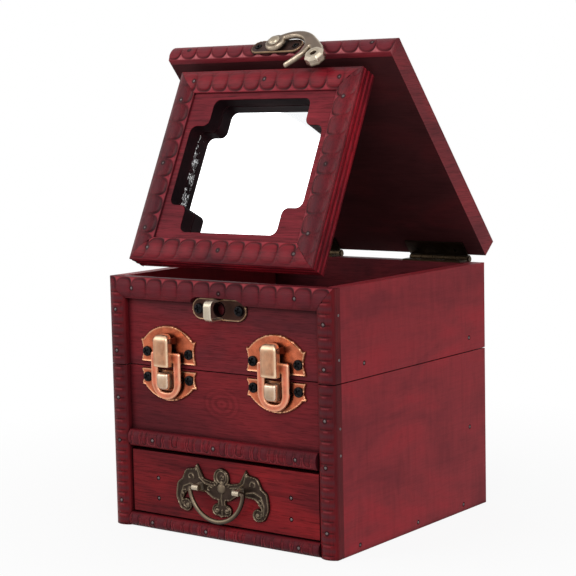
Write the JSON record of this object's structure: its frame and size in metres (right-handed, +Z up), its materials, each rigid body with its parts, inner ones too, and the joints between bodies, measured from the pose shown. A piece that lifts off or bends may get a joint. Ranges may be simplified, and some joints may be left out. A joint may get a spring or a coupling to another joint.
{
  "type": "vanity box with mirror",
  "caption": "Small wooden vanity box: drawer below, hinged tray above, and a lid that carries a folding framed mirror; toggle latches and a swan hook.",
  "frame": {"origin": "centre of the box's underside", "axes": "+Z up, the front with the drawer faces -Y, +X to the right seen from the front"},
  "size_m": [0.1202, 0.1336, 0.2154],
  "materials": {
    "panel_wood": "red-brown stain under satin varnish",
    "trim_wood": "darker stain in the stamped mouldings, satin",
    "mirror_wood": "thin rose-red stain, fine straight grain, satin",
    "inner_wood": "plain red stain, matt",
    "copper": "copper plated sheet steel with dark recesses",
    "bronze": "antique bronze, dark recesses and worn pale edges",
    "black_metal": "black oxide",
    "nail_steel": "bright nail heads",
    "mirror": "silvered glass",
    "card": "dark backing card"
  },
  "bodies": {
    "carcass": {"carcass_left_side": "panel_wood", "carcass_right_side": "panel_wood", "carcass_back": "panel_wood", "carcass_base": "inner_wood", "carcass_front_panel": "panel_wood", "drawer_bay_shelf": "inner_wood", "drawer_guides": "inner_wood", "mid_rail_trim": "trim_wood", "bottom_rail_trim": "trim_wood", "corner_trims_lower": "trim_wood", "carcass_nails": "nail_steel", "catch_plates": "copper", "catch_screws": "black_metal", "tray_hinge_lower_leaves": "bronze", "tray_hinge_pins": "bronze", "tray_hinge_lower_screws": "bronze"},
    "tray": {"tray_left_side": "panel_wood", "tray_right_side": "panel_wood", "tray_front": "panel_wood", "tray_back": "panel_wood", "tray_floor": "inner_wood", "tray_top_trim": "trim_wood", "corner_trims_upper": "trim_wood", "tray_nails": "nail_steel", "eye_plate": "bronze", "latch_plates": "copper", "latch_pins": "copper", "tray_front_screws": "black_metal", "tray_hinge_upper_leaves": "bronze", "tray_hinge_upper_screws": "bronze", "lid_hinge_lower_leaves": "bronze", "lid_hinge_pins": "bronze", "lid_hinge_lower_screws": "bronze"},
    "lid": {"lid_panel": "panel_wood", "lid_front_trim": "trim_wood", "lid_nails": "nail_steel", "hook_base_plate": "bronze", "hook_screws": "black_metal", "hook_rivet": "bronze", "lid_hinge_upper_leaves": "bronze", "lid_hinge_upper_screws": "bronze", "mirror_hinge_lid_leaves": "bronze", "mirror_hinge_pins": "bronze"},
    "mirror": {"mirror_backing": "card", "mirror_glass": "mirror", "mirror_window_board": "mirror_wood", "mirror_rails": "mirror_wood", "mirror_face_trims": "mirror_wood", "mirror_nails": "nail_steel", "mirror_hinge_frame_leaves": "bronze"},
    "hook": {"hook": "bronze"},
    "latch_left": {"latch_tongue_left": "copper"},
    "latch_right": {"latch_tongue_right": "copper"},
    "drawer": {"drawer_face": "panel_wood", "drawer_sides": "inner_wood", "drawer_ends": "inner_wood", "drawer_bottom": "inner_wood", "drawer_nails": "nail_steel", "pull_plate": "bronze"},
    "bail": {"pull_bail": "bronze"}
  },
  "joints": [
    {"name": "tray_hinge", "type": "hinge", "parent": "carcass", "child": "tray", "pos_m": [0, 0.06, 0.0718], "axis": [-1, 0, 0], "range_deg": [0, 35]},
    {"name": "lid_hinge", "type": "hinge", "parent": "tray", "child": "lid", "pos_m": [0, 0.06, 0.1115], "axis": [1, 0, 0], "range_deg": [0, 50]},
    {"name": "mirror_hinge", "type": "hinge", "parent": "lid", "child": "mirror", "pos_m": [0, -0.01044, 0.1956], "axis": [1, 0, 0], "range_deg": [0, 66]},
    {"name": "hook_pivot", "type": "hinge", "parent": "lid", "child": "hook", "pos_m": [0, -0.01583, 0.21027], "axis": [0, 0.6428, -0.766], "range_deg": [0, 55]},
    {"name": "latch_left_pivot", "type": "hinge", "parent": "tray", "child": "latch_left", "pos_m": [-0.029, -0.062, 0.084], "axis": [-1, 0, 0], "range_deg": [0, 140]},
    {"name": "latch_right_pivot", "type": "hinge", "parent": "tray", "child": "latch_right", "pos_m": [0.029, -0.062, 0.084], "axis": [-1, 0, 0], "range_deg": [0, 140]},
    {"name": "drawer_slide", "type": "slide", "parent": "carcass", "child": "drawer", "axis": [0, -1, 0], "range_m": [0, 0.088]},
    {"name": "bail_pivot", "type": "hinge", "parent": "drawer", "child": "bail", "pos_m": [0, -0.064, 0.0224], "axis": [-1, 0, 0], "range_deg": [0, 150]}
  ],
  "couplings": [
    {"joint": "latch_left_pivot", "follows": "tray_hinge", "ratio": 4},
    {"joint": "latch_right_pivot", "follows": "tray_hinge", "ratio": 4},
    {"joint": "mirror_hinge", "follows": "lid_hinge", "ratio": 1.32}
  ]
}
